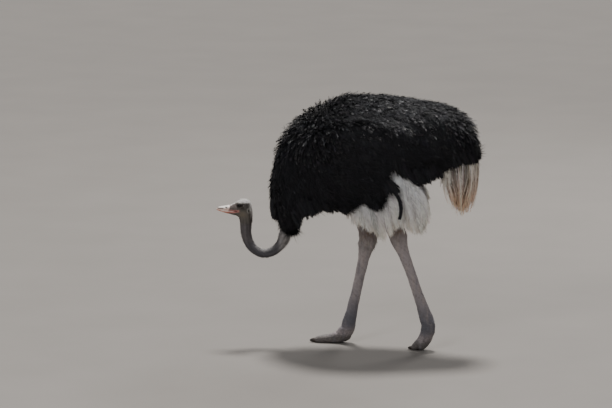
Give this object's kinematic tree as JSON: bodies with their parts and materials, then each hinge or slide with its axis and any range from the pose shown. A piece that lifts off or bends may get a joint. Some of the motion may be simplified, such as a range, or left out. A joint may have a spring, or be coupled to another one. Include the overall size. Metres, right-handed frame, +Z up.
{
  "type": "ostrich",
  "caption": "Life-size male ostrich as a still display model, walking with its bare neck lowered in a deep curve.",
  "frame": {"origin": "the middle of the bird's box at floor level", "axes": "+Z up; the bird walks towards -X, so its left side is -Y"},
  "size_m": [1.387, 0.5832, 1.3336],
  "materials": {
    "black_plumage": "matte, soft feathers",
    "white_plumage": "matte, soft feathers",
    "tail_plumage": "matte, soft feathers",
    "neck_skin": "matte skin with short down",
    "leg_skin": "satin skin with plates",
    "bill_horn": "satin horn",
    "claw_horn": "satin horn",
    "eye": "wet gloss",
    "ear": "matte"
  },
  "bodies": {
    "root": {"trunk": "black_plumage", "neck_lower": "neck_skin", "neck_middle": "neck_skin", "neck_upper": "neck_skin", "head": "neck_skin", "bill_upper": "bill_horn", "bill_lower": "bill_horn", "tail": "tail_plumage", "eye_left": "eye", "ear_left": "ear", "wing_left": "black_plumage", "plumes_front_left": "white_plumage", "plumes_rear_left": "white_plumage", "shank_left": "leg_skin", "tarsus_left": "leg_skin", "toe_big_left": "leg_skin", "toe_outer_left": "leg_skin", "claw_big_left": "claw_horn", "claw_outer_left": "claw_horn", "eye_right": "eye", "ear_right": "ear", "wing_right": "black_plumage", "plumes_front_right": "white_plumage", "plumes_rear_right": "white_plumage", "shank_right": "leg_skin", "tarsus_right": "leg_skin", "toe_big_right": "leg_skin", "toe_outer_right": "leg_skin", "claw_big_right": "claw_horn", "claw_outer_right": "claw_horn"}
  },
  "joints": []
}
